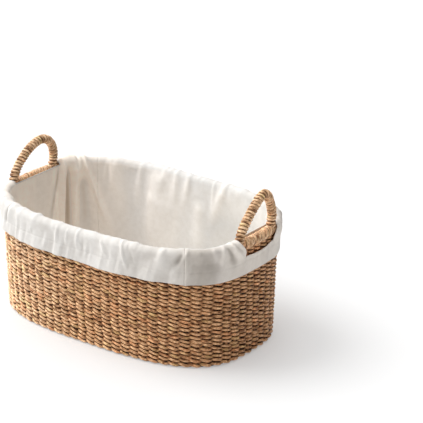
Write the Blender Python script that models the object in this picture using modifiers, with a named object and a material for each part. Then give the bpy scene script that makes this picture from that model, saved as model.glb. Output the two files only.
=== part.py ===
"""Oval woven laundry basket on a wire frame, with two bow handles and a lift-out cotton liner.

Metres, +Z up, +X along the basket, the base on z = 0 and the middle of the oval at the origin.
Everything follows one oval, a little wider at the rim than at the base. A place on it is given by
a station, counted in steps round the oval, and by an offset outwards from the wall's middle.
"""

import math

import bmesh
import bpy
from mathutils import Vector

# The oval
STEPS = 48
ROUNDNESS = 3.0
RIM_HALF = (0.278, 0.183)
BASE_HALF = (0.277, 0.166)
RIM_Z = 0.238

# Wire frame
GAP = 0.0003
RING_R = 0.0025
UPRIGHT_R = 0.0015
BASE_RING_Z = 0.006
BAR_Z = 0.0055
BAR_X = (-0.184, -0.092, 0.0, 0.092, 0.184)
WIRE_RESOLUTION = 1

# Woven parts
WALL_HALF_T = 0.0055
WALL_TOP = 0.2285
BASE_T = 0.009
BINDING_R = 0.009
BINDING_RESOLUTION = 3

# Handles, each bent by hand: the side it is on, the middle of its feet, half the distance between
# them, its rise above the spring, its pinch, where 0 is half an ellipse and 0.1 nearly a triangle,
# and how far its top leans along the rim
HANDLES = {
    "left": (-1, -0.002, 0.061, 0.060, 0.016, 0.023),
    "right": (1, 0.011, 0.052, 0.067, 0.060, 0.025),
}
HANDLE_SPRING_Z = 0.252
HANDLE_STEPS = 16
WRAP_R = 0.009
WRAP_RESOLUTION = 2

# Liner
CLOTH_T = 0.0014
OVER_RIM_R = 0.0103
LINING_LEAN = 0.0027
LINING_TOP = 0.236
LINING_BOTTOM = 0.0094
LINER_BASE_Z = 0.0101
LINER_BASE_MARGIN = 0.0013
SEAM_STEP = 5
SEAM_TRIM = 0.006
HANDLE_CLEAR_X = 0.2624
CUFF_OUT = 0.0138
CUFF_IN = 0.0104
HEM_Z = 0.1871
HEM_TURN_TOP = 0.210
SLOT_MARGIN = 0.012
SLOT_X = (0.225, 0.320)
SLOT_Z = (0.218, 0.268)
ELASTIC_OFFSET = 0.0121
ELASTIC_Z = (0.192, 0.206)
ELASTIC_T = 0.001

MATERIALS = {
    "iron_wire": ((0.16, 0.15, 0.14), 0.45, 0.9),
    "seagrass": ((0.55, 0.38, 0.22), 0.8, 0.0),
    "seagrass_cord": ((0.60, 0.43, 0.26), 0.8, 0.0),
    "cotton": ((0.86, 0.84, 0.80), 0.9, 0.0),
    "elastic": ((0.92, 0.92, 0.90), 0.7, 0.0),
}


# ---------------------------------------------------------------- scene helpers

def start_clean():
    for obj in list(bpy.data.objects):
        bpy.data.objects.remove(obj, do_unlink=True)


def new_collection(name):
    group = bpy.data.collections.new(name)
    bpy.context.scene.collection.children.link(group)
    return group


def new_material(name):
    colour, roughness, metallic = MATERIALS[name]
    material = bpy.data.materials.new(name)
    material.use_nodes = True
    shader = material.node_tree.nodes["Principled BSDF"]
    shader.inputs["Base Color"].default_value = (*colour, 1.0)
    shader.inputs["Roughness"].default_value = roughness
    shader.inputs["Metallic"].default_value = metallic
    return material


def new_empty(name, group):
    empty = bpy.data.objects.new(name, None)
    empty.empty_display_size = 0.05
    group.objects.link(empty)
    return empty


class Kit:
    """Where new objects go: a collection, and the empty that they hang from."""

    def __init__(self, group, parent=None):
        self.group = group
        self.parent = parent

    def place(self, obj, location=(0.0, 0.0, 0.0), material=None):
        self.group.objects.link(obj)
        obj.location = location
        obj.parent = self.parent
        if material:
            obj.data.materials.append(material)
        return obj


# ---------------------------------------------------------------- the oval

def oval(half):
    """STEPS points evenly spaced round the oval, counter-clockwise from +X."""
    dense = []
    for i in range(4001):
        angle = 2 * math.pi * i / 4000
        c, s = math.cos(angle), math.sin(angle)
        x = half[0] * math.copysign(abs(c) ** (2 / ROUNDNESS), c)
        y = half[1] * math.copysign(abs(s) ** (2 / ROUNDNESS), s)
        dense.append(Vector((x, y)))
    run = [0.0]
    for first, second in zip(dense, dense[1:]):
        run.append(run[-1] + (second - first).length)
    points = []
    j = 0
    for i in range(STEPS):
        target = run[-1] * i / STEPS
        while run[j + 1] < target:
            j += 1
        part = (target - run[j]) / (run[j + 1] - run[j])
        points.append(dense[j].lerp(dense[j + 1], part))
    return points


def outward(points):
    """A mitred outward direction at each point: one metre along it moves both edges out a metre."""
    directions = []
    for i, point in enumerate(points):
        before = (point - points[i - 1]).normalized()
        after = (points[(i + 1) % len(points)] - point).normalized()
        normal = Vector((before.y + after.y, -before.x - after.x)).normalized()
        edge_normal = Vector((after.y, -after.x))
        directions.append(normal / normal.dot(edge_normal))
    return directions


RIM = oval(RIM_HALF)
BASE = oval(BASE_HALF)
RIM_OUT = outward(RIM)


def between(points, station):
    """The value at a station, which may fall part of the way along a step."""
    whole = math.floor(station)
    first = points[whole % STEPS]
    second = points[(whole + 1) % STEPS]
    return first.lerp(second, station - whole)


def on_wall(station, offset, z):
    """A point at an offset from the wall's middle surface, which slopes from base to rim."""
    share = min(z / RIM_Z, 1.0)
    middle = between(BASE, station).lerp(between(RIM, station), share)
    flat = middle + between(RIM_OUT, station) * offset
    return Vector((flat.x, flat.y, z))


def above_rim(station, offset, z):
    """A point straight above or below the rim, for what hangs there or lifts off vertically."""
    flat = between(RIM, station) + between(RIM_OUT, station) * offset
    return Vector((flat.x, flat.y, z))


def on_lining(station, offset, z):
    """A point of the lining, which leans in to the base and runs straight past each handle."""
    share = min(z / RIM_Z, 1.0)
    point = on_wall(station, offset - LINING_LEAN * (1.0 - share), z)
    reach = abs(above_rim(station, offset, z).x) - HANDLE_CLEAR_X
    if reach > 0:
        point.x -= math.copysign(reach, point.x)
    return point


def crossing(points, axis, value):
    """Where the oval's quarter between +X and +Y crosses a value of x (axis 0) or y (axis 1)."""
    quarter = points[:STEPS // 4 + 1]
    for first, second in zip(quarter, quarter[1:]):
        low, high = sorted((first[axis], second[axis]))
        if low <= value <= high:
            part = (value - first[axis]) / (second[axis] - first[axis])
            return first.lerp(second, part)
    return quarter[-1]


# ---------------------------------------------------------------- shapes

def wire(kit, name, path, radius, resolution, material=None, location=(0.0, 0.0, 0.0), closed=False):
    """A round wire or tube along a path, as a curve object with filled caps."""
    curve = bpy.data.curves.new(name, "CURVE")
    curve.dimensions = "3D"
    curve.twist_mode = "MINIMUM"
    curve.bevel_depth = radius
    curve.bevel_resolution = resolution
    curve.use_fill_caps = True
    spline = curve.splines.new("POLY")
    spline.points.add(len(path) - 1)
    for point, place in zip(spline.points, path):
        point.co = (*place, 1.0)
    spline.use_cyclic_u = closed
    return kit.place(bpy.data.objects.new(name, curve), location, material)


def plate(kit, name, outline, z, thickness, material):
    """A flat plate of the given outline, its middle at height z, as a filled 2D curve."""
    curve = bpy.data.curves.new(name, "CURVE")
    curve.dimensions = "2D"
    curve.fill_mode = "BOTH"
    curve.extrude = thickness / 2
    spline = curve.splines.new("POLY")
    spline.points.add(len(outline) - 1)
    for point, place in zip(spline.points, outline):
        point.co = (place.x, place.y, 0.0, 1.0)
    spline.use_cyclic_u = True
    return kit.place(bpy.data.objects.new(name, curve), (0.0, 0.0, z), material)


def as_mesh(kit, curve_object):
    """The same object as a closed mesh, ready to be cut or to cut."""
    bpy.context.view_layer.update()
    graph = bpy.context.evaluated_depsgraph_get()
    mesh = bpy.data.meshes.new_from_object(curve_object.evaluated_get(graph))
    work = bmesh.new()
    work.from_mesh(mesh)
    bmesh.ops.remove_doubles(work, verts=work.verts, dist=1e-6)
    bmesh.ops.recalc_face_normals(work, faces=work.faces)
    work.to_mesh(mesh)
    work.free()
    name = curve_object.name
    place = curve_object.matrix_world.copy()
    bpy.data.objects.remove(curve_object, do_unlink=True)
    mesh.name = name
    solid = bpy.data.objects.new(name, mesh)
    kit.group.objects.link(solid)
    solid.parent = kit.parent
    solid.matrix_world = place
    return solid


def joined(kit, name, solids):
    """Several separate meshes as one object, used for a set of cutters."""
    work = bmesh.new()
    for solid in solids:
        start = len(work.verts)
        work.from_mesh(solid.data)
        work.verts.ensure_lookup_table()
        bmesh.ops.transform(work, matrix=solid.matrix_world, verts=work.verts[start:])
        bpy.data.objects.remove(solid, do_unlink=True)
    mesh = bpy.data.meshes.new(name)
    work.to_mesh(mesh)
    work.free()
    return kit.place(bpy.data.objects.new(name, mesh))


def grid(kit, name, columns, material=None, closed=False):
    """An open surface through columns of points, one column a station."""
    work = bmesh.new()
    rows = [[work.verts.new(point) for point in column] for column in columns]
    pairs = list(zip(rows, rows[1:]))
    if closed:
        pairs.append((rows[-1], rows[0]))
    for first, second in pairs:
        for k in range(len(first) - 1):
            work.faces.new((first[k], second[k], second[k + 1], first[k + 1]))
    mesh = bpy.data.meshes.new(name)
    work.to_mesh(mesh)
    work.free()
    return kit.place(bpy.data.objects.new(name, mesh), material=material)


def solidify(obj, thickness):
    modifier = obj.modifiers.new("thickness", "SOLIDIFY")
    modifier.thickness = thickness
    modifier.offset = 0.0
    modifier.use_even_offset = True
    return obj


def cut(target, *cutters):
    for cutter in cutters:
        modifier = target.modifiers.new("cut_" + cutter.name, "BOOLEAN")
        modifier.operation = "DIFFERENCE"
        modifier.solver = "EXACT"
        modifier.object = cutter


def box(kit, name, low, high):
    bpy.ops.mesh.primitive_cube_add(size=1.0)
    cube = bpy.context.object
    cube.name = name
    for vertex in cube.data.vertices:
        vertex.co = [lo + (hi - lo) * (c + 0.5) for lo, hi, c in zip(low, high, vertex.co)]
    for group in list(cube.users_collection):
        group.objects.unlink(cube)
    return kit.place(cube)


# ---------------------------------------------------------------- wire frame

def ring_path(z):
    return [on_wall(station, 0.0, z) for station in range(STEPS)]


def upright(kit, name, station, radius, low_z, high_z, material=None):
    foot = on_wall(station, 0.0, low_z)
    path = [Vector((0.0, 0.0, 0.0)), on_wall(station, 0.0, high_z) - foot]
    return wire(kit, name, path, radius, WIRE_RESOLUTION, material, foot)


def base_bar(kit, name, x, radius, stop_short, material=None):
    """A bar across the base, ending short of the base ring's centre line."""
    reach = crossing(BASE, 0, abs(x)).y - stop_short
    path = [Vector((0.0, -reach, 0.0)), Vector((0.0, reach, 0.0))]
    return wire(kit, name, path, radius, WIRE_RESOLUTION, material, (x, 0.0, BAR_Z))


def handle_place(name):
    """The x of a handle's upright plane, where its further foot meets the rim, and the y of its feet."""
    side, middle, half = HANDLES[name][:3]
    x = side * crossing(RIM, 1, middle + half).x
    return x, (middle + half, middle - half)


def bow_path(name, foot_z):
    """A handle's centre line in its own plane: up from one foot, over, and down to the other."""
    _, middle, half, rise, pinch, lean = HANDLES[name]
    path = [Vector((0.0, middle + half, foot_z))]
    for i in range(HANDLE_STEPS + 1):
        angle = math.pi * i / HANDLE_STEPS
        across = (math.cos(angle) + pinch * math.cos(3 * angle)) / (1 + pinch)
        up = (math.sin(angle) - pinch * math.sin(3 * angle)) / (1 + pinch)
        path.append(Vector((0.0, middle + half * across + lean * up, HANDLE_SPRING_Z + rise * up)))
    path.append(Vector((0.0, middle - half, foot_z)))
    return path


UPRIGHT_STATIONS = range(1, STEPS, 2)


def build_frame(kit, iron):
    wire(kit, "rim_ring", ring_path(RIM_Z), RING_R, WIRE_RESOLUTION, iron, closed=True)
    wire(kit, "base_ring", ring_path(BASE_RING_Z), RING_R, WIRE_RESOLUTION, iron, closed=True)
    low = BASE_RING_Z + RING_R + GAP
    high = RIM_Z - RING_R - GAP
    for number, station in enumerate(UPRIGHT_STATIONS, 1):
        upright(kit, f"upright_{number:02d}", station, UPRIGHT_R, low, high, iron)
    for number, x in enumerate(BAR_X, 1):
        base_bar(kit, f"base_bar_{number}", x, UPRIGHT_R, RING_R + 2 * GAP, iron)
    for name in HANDLES:
        x, _ = handle_place(name)
        path = bow_path(name, RIM_Z + RING_R + GAP)
        wire(kit, f"handle_core_{name}", path, RING_R, WIRE_RESOLUTION, iron, (x, 0.0, 0.0))


# ---------------------------------------------------------------- room for the frame in the weave

def ring_room(cutters, name, z, radius, resolution):
    return as_mesh(cutters, wire(cutters, name, ring_path(z), radius, resolution, closed=True))


def upright_rooms(cutters):
    rooms = []
    for station in UPRIGHT_STATIONS:
        room = upright(cutters, f"room_{station}", station, UPRIGHT_R + GAP, BASE_RING_Z, RIM_Z)
        rooms.append(as_mesh(cutters, room))
    return joined(cutters, "upright_rooms", rooms)


def bar_rooms(cutters):
    rooms = []
    for x in BAR_X:
        rooms.append(as_mesh(cutters, base_bar(cutters, f"room_{x}", x, UPRIGHT_R + GAP, 0.0)))
    return joined(cutters, "bar_rooms", rooms)


def foot_rooms(cutters):
    rooms = []
    for name in HANDLES:
        x, feet = handle_place(name)
        for y in feet:
            path = [Vector((0.0, 0.0, 0.0)), Vector((0.0, 0.0, 2 * BINDING_R))]
            room = wire(cutters, f"room_{x}_{y}", path, RING_R + GAP, WIRE_RESOLUTION, location=(x, y, RIM_Z))
            rooms.append(as_mesh(cutters, room))
    return joined(cutters, "foot_rooms", rooms)


def core_room(cutters, name, x):
    path = bow_path(name, RIM_Z)
    room = wire(cutters, f"core_room_{name}", path, RING_R + GAP, WIRE_RESOLUTION, location=(x, 0.0, 0.0))
    return as_mesh(cutters, room)


# ---------------------------------------------------------------- weave

def build_wall(kit, seagrass):
    """The wall, lofted from the base oval to the rim oval, flat along its foot and its top."""
    corners = [(-WALL_HALF_T, 0.0), (WALL_HALF_T, 0.0), (WALL_HALF_T, WALL_TOP), (-WALL_HALF_T, WALL_TOP)]
    corners.append(corners[0])
    columns = [[on_wall(station, *corner) for corner in corners] for station in range(STEPS)]
    wall = grid(kit, "wall_weave", columns, seagrass, closed=True)
    work = bmesh.new()
    work.from_mesh(wall.data)
    bmesh.ops.remove_doubles(work, verts=work.verts, dist=1e-6)
    bmesh.ops.recalc_face_normals(work, faces=work.faces)
    work.to_mesh(wall.data)
    work.free()
    return wall


def build_weave(kit, cutters, seagrass, cord):
    uprights = upright_rooms(cutters)
    bars = bar_rooms(cutters)
    rim_room = ring_room(cutters, "rim_room", RIM_Z, RING_R + GAP, WIRE_RESOLUTION)
    base_room = ring_room(cutters, "base_room", BASE_RING_Z, RING_R + GAP, WIRE_RESOLUTION)
    saddle = ring_room(cutters, "saddle_room", RIM_Z, BINDING_R + GAP, BINDING_RESOLUTION)

    cut(build_wall(kit, seagrass), base_room, uprights, bars)

    outline = [on_wall(station, -WALL_HALF_T - GAP, 0.0) for station in range(STEPS)]
    base = plate(kit, "base_weave", outline, BASE_T / 2, BASE_T, seagrass)
    cut(as_mesh(kit, base), bars)

    path = ring_path(RIM_Z)
    binding = wire(kit, "rim_binding", path, BINDING_R, BINDING_RESOLUTION, cord, closed=True)
    cut(as_mesh(kit, binding), rim_room, uprights, foot_rooms(cutters))

    for name in HANDLES:
        x, _ = handle_place(name)
        path = bow_path(name, RIM_Z)
        wrap = wire(kit, f"handle_wrap_{name}", path, WRAP_R, WRAP_RESOLUTION, cord, (x, 0.0, 0.0))
        cut(as_mesh(kit, wrap), saddle, core_room(cutters, name, x))


# ---------------------------------------------------------------- liner

def panel_columns(place, line, first, last):
    """The line of (offset, z) carried from one seam to the next, stopping just short of both."""
    stations = [first + SEAM_TRIM, *range(first + 1, last), last - SEAM_TRIM]
    return [[place(station, *point) for point in line] for station in stations]


def cuff_line():
    """The cuff from inside the rim, over it, and down to the hem, which turns in and up."""
    line = [(-OVER_RIM_R, LINING_TOP + GAP)]
    for i in range(7):
        angle = math.pi * (1.0 - i / 6)
        line.append((OVER_RIM_R * math.cos(angle), RIM_Z + 2 * GAP + OVER_RIM_R * math.sin(angle)))
    line += [(0.0120, 0.232), (CUFF_OUT, 0.222)]
    middle = (CUFF_OUT + CUFF_IN) / 2
    turn = (CUFF_OUT - CUFF_IN) / 2
    for i in range(5):
        angle = math.pi * i / 4
        line.append((middle + turn * math.cos(angle), HEM_Z + turn - turn * math.sin(angle)))
    line.append((CUFF_IN, HEM_TURN_TOP))
    return line


def build_liner(kit, cutters, cotton, elastic):
    panels = {
        "right_end": (-SEAM_STEP, SEAM_STEP),
        "back": (SEAM_STEP, STEPS // 2 - SEAM_STEP),
        "left_end": (STEPS // 2 - SEAM_STEP, STEPS // 2 + SEAM_STEP),
        "front": (STEPS // 2 + SEAM_STEP, STEPS - SEAM_STEP),
    }
    lining = [(-OVER_RIM_R, LINING_BOTTOM), (-OVER_RIM_R, LINING_TOP)]
    slots = {}
    for name, (side, middle, half, *_) in HANDLES.items():
        near, far = sorted((side * SLOT_X[0], side * SLOT_X[1]))
        reach = half + SLOT_MARGIN
        low = (near, middle - reach, SLOT_Z[0])
        high = (far, middle + reach, SLOT_Z[1])
        slots[f"{name}_end"] = box(cutters, f"slot_{name}", low, high)
    for name, (first, last) in panels.items():
        inside = grid(kit, f"lining_{name}", panel_columns(on_lining, lining, first, last), cotton)
        solidify(inside, CLOTH_T)
        cuff = grid(kit, f"cuff_{name}", panel_columns(above_rim, cuff_line(), first, last), cotton)
        solidify(cuff, CLOTH_T)
        if name in slots:
            cut(cuff, slots[name])

    outline = []
    for station in range(STEPS):
        edge = on_lining(station, -OVER_RIM_R, LINER_BASE_Z)
        outline.append(edge.to_2d() - between(RIM_OUT, station) * LINER_BASE_MARGIN)
    plate(kit, "liner_base", outline, LINER_BASE_Z, CLOTH_T, cotton)

    band = [[above_rim(station, ELASTIC_OFFSET, z) for z in ELASTIC_Z] for station in range(STEPS)]
    solidify(grid(kit, "hem_elastic", band, elastic, closed=True), ELASTIC_T)


def main():
    start_clean()
    group = new_collection("laundry_basket")
    cutter_group = new_collection("cutters")
    materials = {name: new_material(name) for name in MATERIALS}
    basket = Kit(group, new_empty("basket_frame", group))
    liner = Kit(group, new_empty("liner_lift", group))
    cutters = Kit(cutter_group)
    build_frame(basket, materials["iron_wire"])
    build_weave(basket, cutters, materials["seagrass"], materials["seagrass_cord"])
    build_liner(liner, cutters, materials["cotton"], materials["elastic"])
    for cutter in cutter_group.objects:
        cutter.hide_render = True
        cutter.display_type = "WIRE"


main()
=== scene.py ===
"""Looks of the woven laundry basket: twined seagrass over a wire frame, with a folded cotton liner."""

import math

import bmesh
import bpy
import numpy as np
from mathutils import Matrix, Vector


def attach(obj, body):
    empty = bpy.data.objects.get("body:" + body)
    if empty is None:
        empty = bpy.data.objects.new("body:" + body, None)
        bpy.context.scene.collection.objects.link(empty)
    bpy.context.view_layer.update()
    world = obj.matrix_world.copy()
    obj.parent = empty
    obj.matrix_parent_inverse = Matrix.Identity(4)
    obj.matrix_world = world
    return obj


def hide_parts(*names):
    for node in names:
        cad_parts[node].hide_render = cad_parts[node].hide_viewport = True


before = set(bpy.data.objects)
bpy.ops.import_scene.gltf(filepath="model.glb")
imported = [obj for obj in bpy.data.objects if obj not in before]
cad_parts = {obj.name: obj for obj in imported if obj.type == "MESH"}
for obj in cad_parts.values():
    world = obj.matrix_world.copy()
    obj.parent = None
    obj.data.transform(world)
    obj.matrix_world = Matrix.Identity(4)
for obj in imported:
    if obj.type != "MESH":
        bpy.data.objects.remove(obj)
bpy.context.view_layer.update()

MM = 0.001
RNG = np.random.default_rng(7)

# The oval, as in the CAD part
ROUNDNESS = 3.0
RIM_HALF = np.array([0.278, 0.183])
BASE_HALF = np.array([0.277, 0.166])
RIM_Z = 0.238
WALL_TOP = 0.2285

# Handles, as in the CAD part: side, middle y, half distance of the feet, rise, pinch, lean
HANDLES = {
    "left": (-1, -0.002, 0.061, 0.060, 0.016, 0.023),
    "right": (1, 0.011, 0.052, 0.067, 0.060, 0.025),
}
HANDLE_SPRING_Z = 0.252
HANDLE_FOOT_Z = RIM_Z + 2 * MM

# Weave
STAKES = 72
ROWS = 27
ROW_BANDS = 3
STRAND_OUT = 3.2 * MM
STRAND_DIP = 1.8 * MM
STRAND_HALF_HEIGHT = 2.85 * MM
STRAND_HALF_DEPTH = 2.2 * MM
PROUD = 5.4 * MM
FIRST_ROW_Z = 0.0063
ROW_PITCH = (WALL_TOP - 0.0030 - FIRST_ROW_Z) / (ROWS - 1)
BASE_ROW_Z = 0.0059
BASE_ROW_SCALE = 0.90
BASE_ROW_FLATNESS = 0.75
BASE_FIRST_INSET = 0.0095
BASE_STAKE_SPACING = 0.0218
STAKE_LOW_Z = 0.003
STAKE_HIGH_Z = 0.2335
STAKE_HALF = (1.3 * MM, 4.2 * MM)

# Wound cords: the core's radius, how far out each cord lies, the cord's own radius, and the length of a turn
BINDING = (5.2 * MM, 5.6 * MM, 3.5 * MM, 27 * MM)
BINDING_CORDS = 4
BINDING_SWELL = 0.26
WRAP = (6.1 * MM, 6.7 * MM, 3.3 * MM, 6.8 * MM)
CORD_FLATNESS = 0.95

# Cloth, where s is the way over the cloth from the rim's crest: negative inside, positive outside
OVER_RIM_R = 0.0108
CLOTH_RIM_Z = 0.2385
CLOTH_THICK = 0.9 * MM
CLOTH_INSIDE = 0.2440
CLOTH_OUTSIDE = 0.0692
CLOTH_COLUMN = 0.0021
CASING_S = 0.0445
CUFF_NEAREST = 7.6 * MM
HEM_R = 0.8 * MM
SLOT_MARGIN = 0.011
SLOT_TOP_S = -0.0105
SLOT_BAND_S = 0.0385
SLOT_HEM_R = 1.1 * MM
LINING_MAX_X = 0.2628
LINER_BOTTOM_Z = 0.0114
SEAM_TURN = 5 / 48

# The liner's panels: the turns at its two seams, and its width before it is gathered
PANELS = {
    "right_end": (-SEAM_TURN, SEAM_TURN, 0.36),
    "back": (SEAM_TURN, 0.5 - SEAM_TURN, 0.50),
    "left_end": (0.5 - SEAM_TURN, 0.5 + SEAM_TURN, 0.36),
    "front": (0.5 + SEAM_TURN, 1 - SEAM_TURN, 0.50),
}

# The elastic in the casing: height and millimetres off the rim's middle line, at each corner of its section
ELASTIC_CORNERS = ((0.194, 6.0), (0.194, 6.5), (0.205, 6.5), (0.205, 6.0))

# Colours, each as red, green and blue
WHITE = (1.0, 1.0, 1.0)
WEAVE_COLOURS = ((0.25, 0.115, 0.046), (0.57, 0.330, 0.168), (0.87, 0.59, 0.36))
CORD_COLOURS = ((0.24, 0.11, 0.045), (0.55, 0.345, 0.185), (0.88, 0.64, 0.42))
COTTON = (0.78, 0.762, 0.735)
COTTON_SLUB = (0.74, 0.718, 0.685)

# Ramps of colour, as stops of position and colour.
# These run along the basket, from its right-hand end to its left, and are painted light and shade: the weave
# and cords painted lighter and cooler towards the left, the lining painted warmer and lighter at its
# left-hand end, and the cuff painted darker round its right-hand corners and lighter at its right-hand tip
WEAVE_PAINTED_LIGHT = ((0.0, (0.88, 0.80, 0.73)), (0.5, (1.02, 1.00, 0.96)), (1.0, (1.36, 1.58, 1.86)))
CORD_PAINTED_LIGHT = ((0.0, (1.02, 1.01, 1.01)), (0.5, (1.04, 1.04, 1.04)), (1.0, (1.05, 1.07, 1.12)))
LINING_PAINTED_LIGHT = ((0.15, (0.950, 0.955, 0.955)), (0.45, (1.000, 1.015, 1.035)), (0.70, (1.020, 1.020, 1.035)),
                (0.95, (1.170, 1.105, 1.050)))
CUFF_PAINTED_LIGHT = ((0.025, (1.20, 1.15, 1.10)), (0.05, (0.96, 0.92, 0.89)), (0.08, (0.80, 0.76, 0.72)),
              (0.11, (0.81, 0.77, 0.73)), (0.15, (0.97, 0.95, 0.93)), (0.50, WHITE))

# These run with a noise's value: redder grass to greener; gaps between fibres to their crowns, in random
# tone with painted shade in the gaps and a painted highlight on the crowns; iron to rust
GRASS_CAST = ((0.34, (1.08, 0.93, 0.84)), (0.44, WHITE), (0.58, WHITE), (0.68, (0.97, 1.05, 0.90)))
FIBRE_TONE_AND_PAINTED_LIGHT = ((0.36, (0.36, 0.25, 0.17)), (0.49, (0.92, 0.86, 0.81)), (0.61, (1.42, 1.40, 1.34)))
WIRE_RUST = ((0.40, (0.035, 0.030, 0.026)), (0.68, (0.13, 0.07, 0.04)))

# These run from what lies deep to what stands proud: painted shade in the hollows, and a painted highlight
# on what stands proud
GRASS_PAINTED_SHADE_AND_HIGHLIGHT = ((0.12, (0.15, 0.08, 0.045)), (0.36, (0.74, 0.66, 0.58)), (0.90, (1.16, 1.16, 1.16)))
LINING_PAINTED_SHADE_AND_HIGHLIGHT = ((0.05, (0.60, 0.51, 0.42)), (0.32, (0.84, 0.77, 0.70)), (0.46, (0.93, 0.912, 0.888)),
                (0.60, (0.98, 0.975, 0.965)), (0.95, (1.19, 1.16, 1.12)))
CUFF_PAINTED_SHADE_AND_HIGHLIGHT = ((0.05, (0.52, 0.50, 0.48)), (0.32, (0.80, 0.785, 0.77)), (0.46, (0.93, 0.92, 0.91)),
              (0.60, (0.98, 0.975, 0.97)), (0.95, (1.12, 1.12, 1.12)))

# How far off the cloth's plain shape its ramps of painted shade reach each way, in millimetres
CLOTH_DEPTH_RANGE = 8.0

# Light and floor
SKY_TOWARDS = (-0.60, -0.12, 0.79)
SKY_DIM = 0.11
SKY_BRIGHT = 1.62
KEY_STRENGTH = 1.75
KEY_AZIMUTH = -70.0
KEY_ELEVATION = 50.0
KEY_SPREAD = 40.0
FLOOR_SIZE = 40.0
FLOOR_Z = -0.5 * MM
FLOOR_GREY = (0.56, 0.56, 0.56, 1.0)
FLOOR_GLOW = 0.32

# Camera
CAMERA_PLACE = (2.2362, -2.8638, 1.6908)
CAMERA_AZIMUTH = 35.71
CAMERA_ELEVATION = 21.93
CAMERA_ROLL = 0.81
CAMERA_LENS = 167.2
CAMERA_SENSOR = 36.0


# ---------------------------------------------------------------- the oval

def make_oval(half):
    """Dense points round the oval, and the length run so far at each."""
    angle = np.linspace(0, 2 * np.pi, 8001)
    c, s = np.cos(angle), np.sin(angle)
    x = half[0] * np.sign(c) * np.abs(c) ** (2 / ROUNDNESS)
    y = half[1] * np.sign(s) * np.abs(s) ** (2 / ROUNDNESS)
    points = np.stack([x, y], 1)
    run = np.r_[0, np.cumsum(np.linalg.norm(np.diff(points, axis=0), axis=1))]
    return points, run


RIM_OVAL = make_oval(RIM_HALF)
BASE_OVAL = make_oval(BASE_HALF)
RIM_LENGTH = RIM_OVAL[1][-1]


def on_oval(oval, turn):
    """Points at a share of the way round, counter-clockwise from +X."""
    points, run = oval
    along = np.mod(turn, 1.0) * run[-1]
    return np.stack([np.interp(along, run, points[:, 0]), np.interp(along, run, points[:, 1])], -1)


def unit(vectors):
    """The same directions, at length one."""
    return vectors / np.linalg.norm(vectors, axis=-1, keepdims=True)


def outward(oval, turn):
    """Directions square to the oval, away from its middle."""
    step = 0.002
    ahead = on_oval(oval, turn + step) - on_oval(oval, turn - step)
    return unit(np.stack([ahead[..., 1], -ahead[..., 0]], -1))


def outward_3d(turn):
    """Level directions square to the rim's oval, away from its middle. turn is a row of places."""
    return np.concatenate([outward(RIM_OVAL, turn), np.zeros((len(turn), 1))], -1)


def on_wall(turn, offset, z):
    """Points off the wall's middle surface. The arguments are arrays of one shape."""
    share = np.clip(z / RIM_Z, 0.0, 1.0)[..., None]
    flat = on_oval(BASE_OVAL, turn) * (1 - share) + on_oval(RIM_OVAL, turn) * share
    flat = flat + outward(RIM_OVAL, turn) * np.asarray(offset)[..., None]
    return np.concatenate([flat, z[..., None]], -1)


def turns_apart(turn, other):
    """The shorter way round from one place to another, in turns, with its sign."""
    return np.mod(turn - other + 0.5, 1.0) - 0.5


def ease(x):
    """A smooth way from 0 to 1 as x goes from 0 to 1."""
    return x * x * (3 - 2 * x)


def smooth(x, start, end):
    """0 up to the start, 1 from the end on, and smooth between."""
    return ease(np.clip((x - start) / (end - start), 0, 1))


# ---------------------------------------------------------------- meshes

def make_object(name, verts, faces):
    """A smooth-shaded mesh object. faces has one row of point numbers a face."""
    mesh = bpy.data.meshes.new(name)
    mesh.vertices.add(len(verts))
    mesh.vertices.foreach_set("co", np.ascontiguousarray(verts, dtype=np.float32).ravel())
    mesh.loops.add(faces.size)
    mesh.loops.foreach_set("vertex_index", np.ascontiguousarray(faces, dtype=np.int32).ravel())
    mesh.polygons.add(len(faces))
    mesh.polygons.foreach_set("loop_start", np.arange(0, faces.size, faces.shape[1], dtype=np.int32))
    mesh.polygons.foreach_set("loop_total", np.full(len(faces), faces.shape[1], dtype=np.int32))
    mesh.update(calc_edges=True)
    mesh.validate()
    mesh.polygons.foreach_set("use_smooth", np.ones(len(mesh.polygons), bool))
    obj = bpy.data.objects.new(name, mesh)
    bpy.context.scene.collection.objects.link(obj)
    return obj


def set_point_values(obj, name, values):
    """Gives each of an object's points a number that its material can read."""
    attribute = obj.data.attributes.new(name, "FLOAT", "POINT")
    attribute.data.foreach_set("value", values.astype(np.float32).ravel())


def tube_faces(rings, sides, closed):
    """Quads of a tube of rings, wrapping round both ways where it is closed."""
    spans = rings if closed else rings - 1
    i = np.arange(spans)[:, None]
    k = np.arange(sides)[None, :]
    i_next = (i + 1) % rings
    k_next = (k + 1) % sides
    corners = [i * sides + k, i_next * sides + k, i_next * sides + k_next, i * sides + k_next]
    return np.stack([np.broadcast_to(c, (spans, sides)) for c in corners], -1).reshape(-1, 4)


def strand_uv(rings, sides, closed, length, start):
    """A UV for each corner of tube_faces: metres along the strand, and the share of the way round."""
    spans = rings if closed else rings - 1
    i = np.arange(spans)[:, None] * np.ones((1, sides))
    k = np.ones((spans, 1)) * np.arange(sides)[None, :]
    along = [i, i + 1, i + 1, i]
    around = [k, k, k + 1, k + 1]
    step = length / spans
    uv = [np.stack([start + a * step, b / sides], -1) for a, b in zip(along, around)]
    return np.stack(uv, 2).reshape(-1, 2)


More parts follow.
